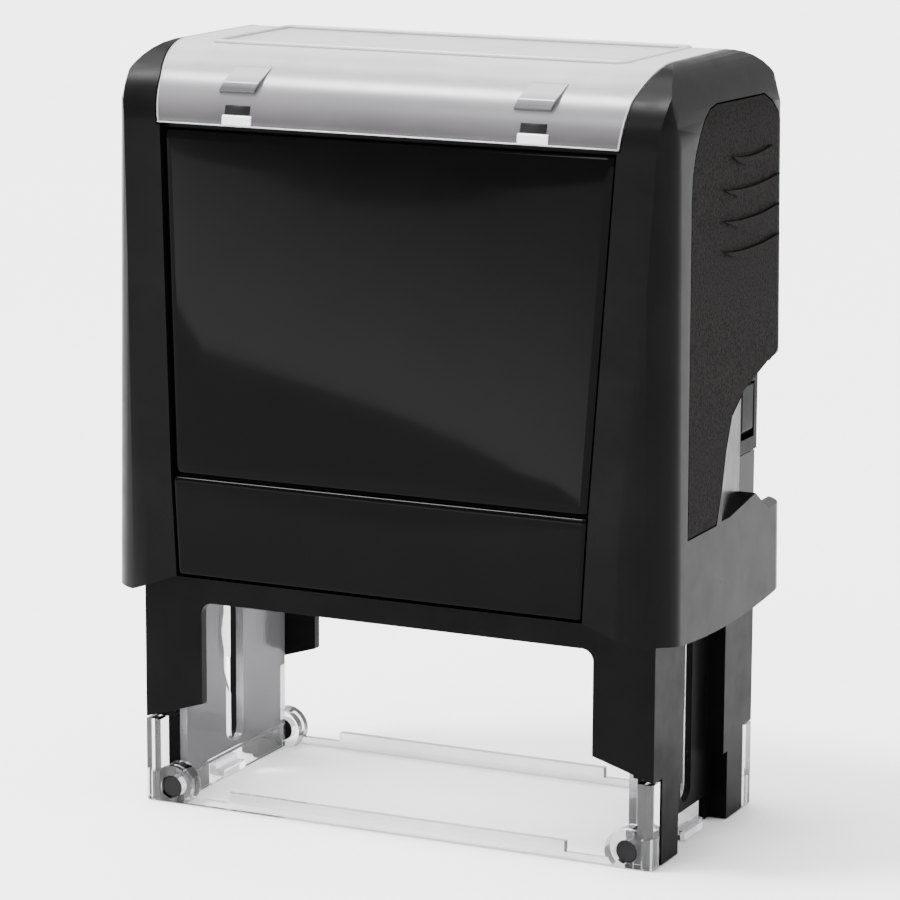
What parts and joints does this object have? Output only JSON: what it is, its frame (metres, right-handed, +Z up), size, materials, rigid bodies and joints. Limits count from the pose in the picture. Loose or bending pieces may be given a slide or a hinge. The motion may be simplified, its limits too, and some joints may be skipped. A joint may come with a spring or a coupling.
{
  "type": "self inking stamp",
  "caption": "Hand stamp in a sprung cap that presses down over a four-legged frame, turns the printing plate over from its ink pad and prints through an open clear base",
  "frame": {"origin": "middle of the stamp's foot print, on the surface that it stands on", "axes": "+X to the right as seen from the front, +Y to the back where the cartridge slides out, +Z up"},
  "size_m": [0.1034, 0.058, 0.1319],
  "materials": {
    "black_body": "satin moulded plastic",
    "gloss_black": "high gloss",
    "clear": "clear moulded plastic",
    "smoky": "frosted clear plastic",
    "grip": "fine textured soft grip",
    "steel": "drawn wire",
    "ink": "inked felt",
    "foam": "foam",
    "rubber": "matt rubber",
    "card": "white card",
    "foot": "matt rubber"
  },
  "bodies": {
    "base": {"frame_shell": "black_body", "clear_base": "clear", "cam_plate_left": "clear", "cam_plate_right": "clear", "boss_plugs": "black_body", "corner_feet": "foot", "spring_seat": "black_body", "return_spring": "steel"},
    "cap": {"cap_shell": "black_body", "front_panel": "gloss_black", "front_label_band": "gloss_black", "back_panel": "gloss_black", "grip_left": "grip", "grip_right": "grip", "yoke": "black_body", "index_card": "card"},
    "cover": {"index_cover": "smoky"},
    "plate": {"flip_axle": "steel", "plate_holder": "black_body", "plate_cushion": "foam", "rubber_plate": "rubber"},
    "cartridge": {"ink_tray": "black_body", "ink_pad": "ink", "cartridge_handle": "gloss_black"},
    "button_left": {"lock_button_left": "black_body"},
    "button_right": {"lock_button_right": "black_body"}
  },
  "joints": [
    {"name": "cap_press", "type": "slide", "parent": "base", "child": "cap", "axis": [0, 0, 1], "range_m": [-0.036, 0], "stiffness_N_per_m": 400, "springref_m": 0.02, "deforming": ["return_spring"]},
    {"name": "plate_flip", "type": "hinge", "parent": "cap", "child": "plate", "pos_m": [0, 0, 0.0443], "axis": [1, 0, 0], "range_deg": [-180, 0]},
    {"name": "cartridge_slide", "type": "slide", "parent": "base", "child": "cartridge", "axis": [0, 1, 0], "range_m": [0, 0.043]},
    {"name": "cover_lift", "type": "slide", "parent": "cap", "child": "cover", "axis": [0, 0, 1], "range_m": [0, 0.014]},
    {"name": "lock_left", "type": "slide", "parent": "base", "child": "button_left", "axis": [1, 0, 0], "range_m": [0, 0.0018], "stiffness_N_per_m": 300},
    {"name": "lock_right", "type": "slide", "parent": "base", "child": "button_right", "axis": [-1, 0, 0], "range_m": [0, 0.0018], "stiffness_N_per_m": 300}
  ],
  "couplings": [
    {"joint": "plate_flip", "follows": "cap_press", "rad_per_m": 87.266}
  ]
}
